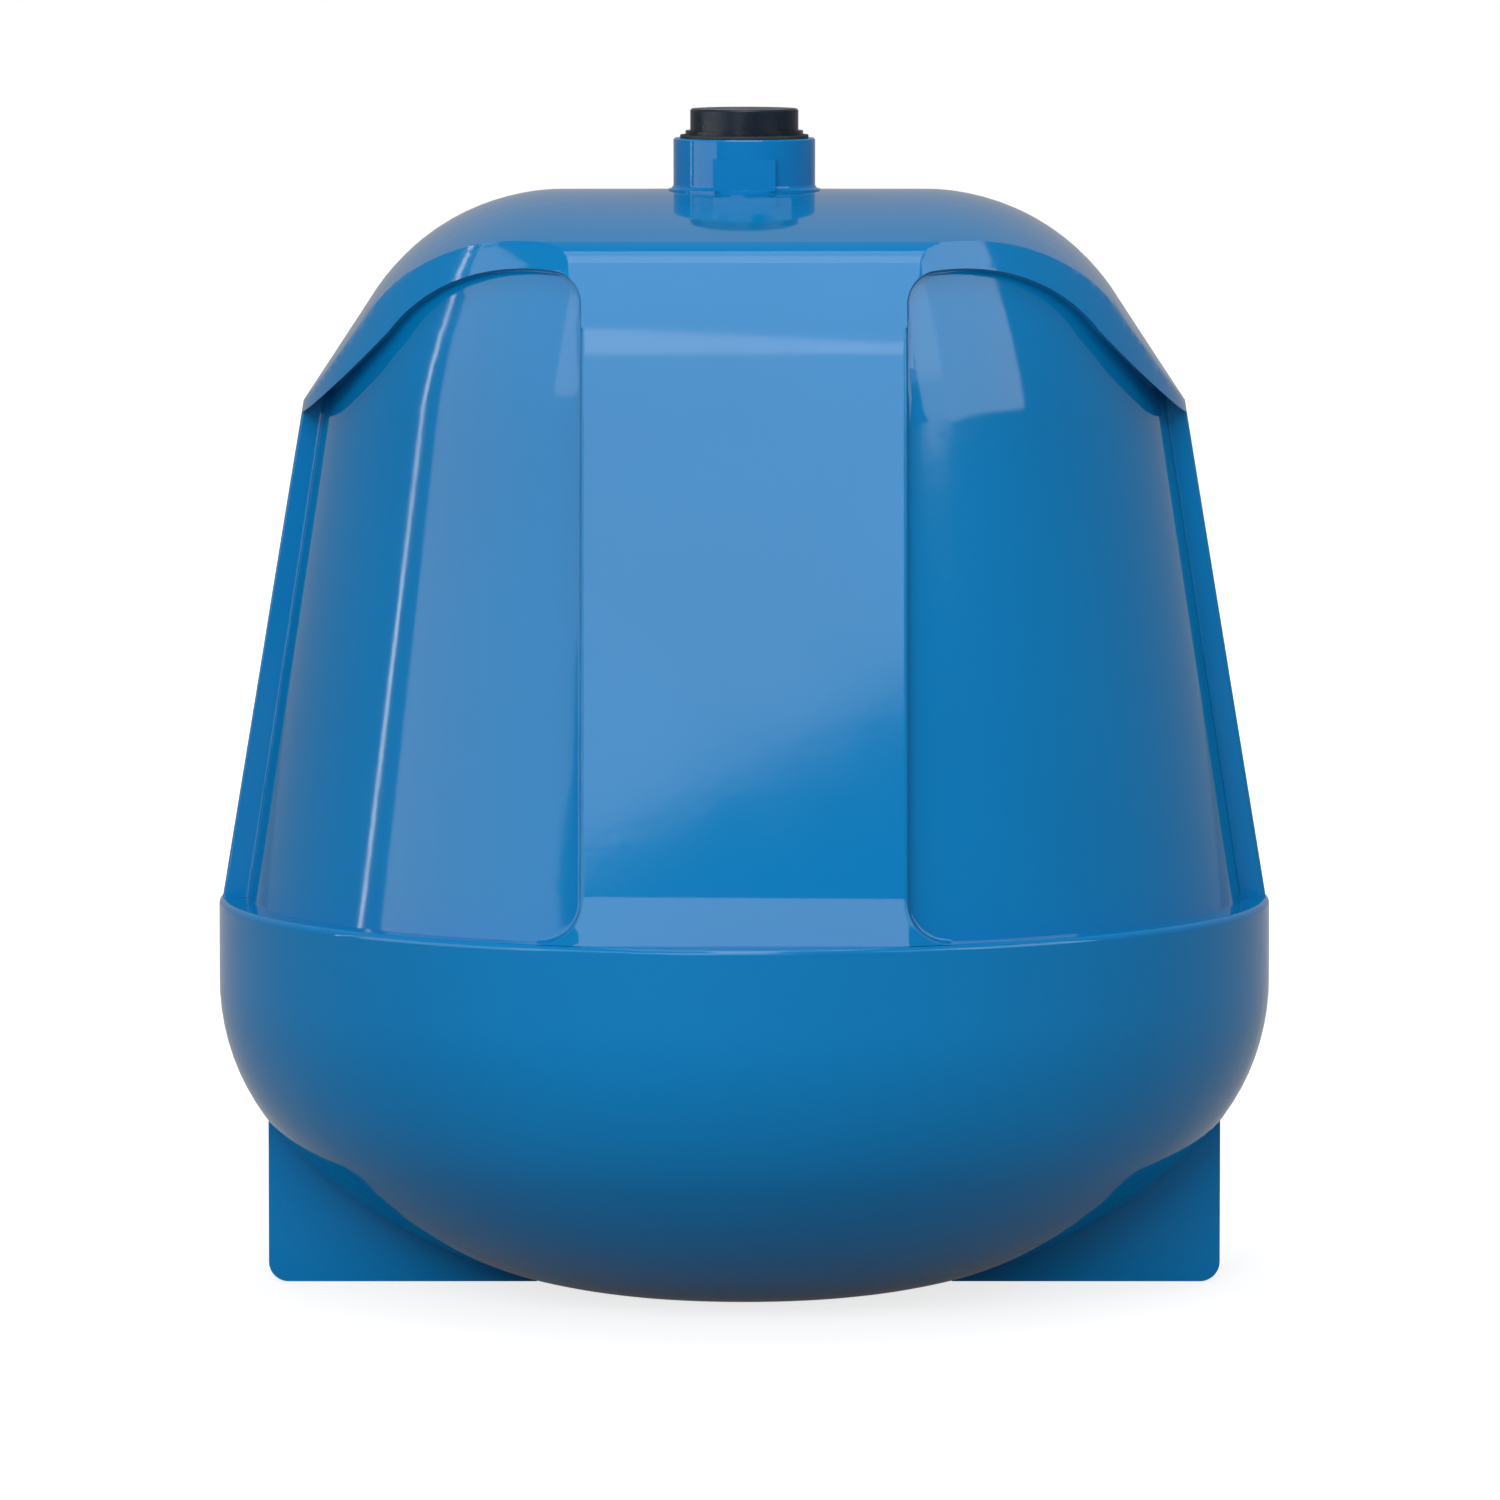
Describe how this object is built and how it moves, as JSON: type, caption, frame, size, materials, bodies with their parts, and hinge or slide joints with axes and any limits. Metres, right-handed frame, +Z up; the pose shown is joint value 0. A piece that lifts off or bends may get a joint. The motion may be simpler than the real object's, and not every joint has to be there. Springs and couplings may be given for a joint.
{
  "type": "expansion vessel",
  "caption": "Blue moulded expansion vessel with recessed flanks, a rubber diaphragm, two blade feet, a capped top water connection and a gas valve in its base.",
  "frame": {"origin": "centre of the base, on the surface the vessel stands on", "axes": "+Z up along the connection, X from foot to foot, -Y towards the front panel"},
  "size_m": [0.3334, 0.3334, 0.3725],
  "materials": {
    "body_blue": "smooth moulded gloss blue",
    "black_plastic": "fine satin black",
    "black_rubber": "matt black",
    "butyl_rubber": "matt black with a slight bloom",
    "brass": "turned, slightly dull",
    "steel": "zinc plated, satin"
  },
  "bodies": {
    "vessel": {"upper_shell": "body_blue", "lower_shell": "body_blue", "foot_left": "body_blue", "foot_right": "body_blue", "diaphragm": "butyl_rubber", "clamp_ring": "steel", "connection_collar": "body_blue", "thread_insert": "brass", "neck_gasket": "black_rubber", "inner_lock_nut": "brass", "valve_stem": "brass", "valve_washer": "black_rubber", "valve_nut": "brass", "valve_core": "brass", "valve_spring": "steel"},
    "protective_plug": {"plug": "black_plastic", "plug_gasket": "black_rubber"},
    "pin": {"valve_pin": "brass", "valve_seal": "black_rubber"},
    "cap": {"valve_cap": "black_plastic", "cap_seal": "black_rubber"}
  },
  "joints": [
    {"name": "plug_lift", "type": "slide", "parent": "vessel", "child": "protective_plug", "axis": [0, 0, 1], "range_m": [0, 0.1]},
    {"name": "cap_off", "type": "slide", "parent": "vessel", "child": "cap", "axis": [0, 0, -1], "range_m": [0, 0.012]},
    {"name": "pin_press", "type": "slide", "parent": "vessel", "child": "pin", "axis": [0, 0, 1], "range_m": [0, 0.0015], "stiffness_N_per_m": 300, "springref_m": -0.0005, "deforming": ["valve_spring"]}
  ]
}
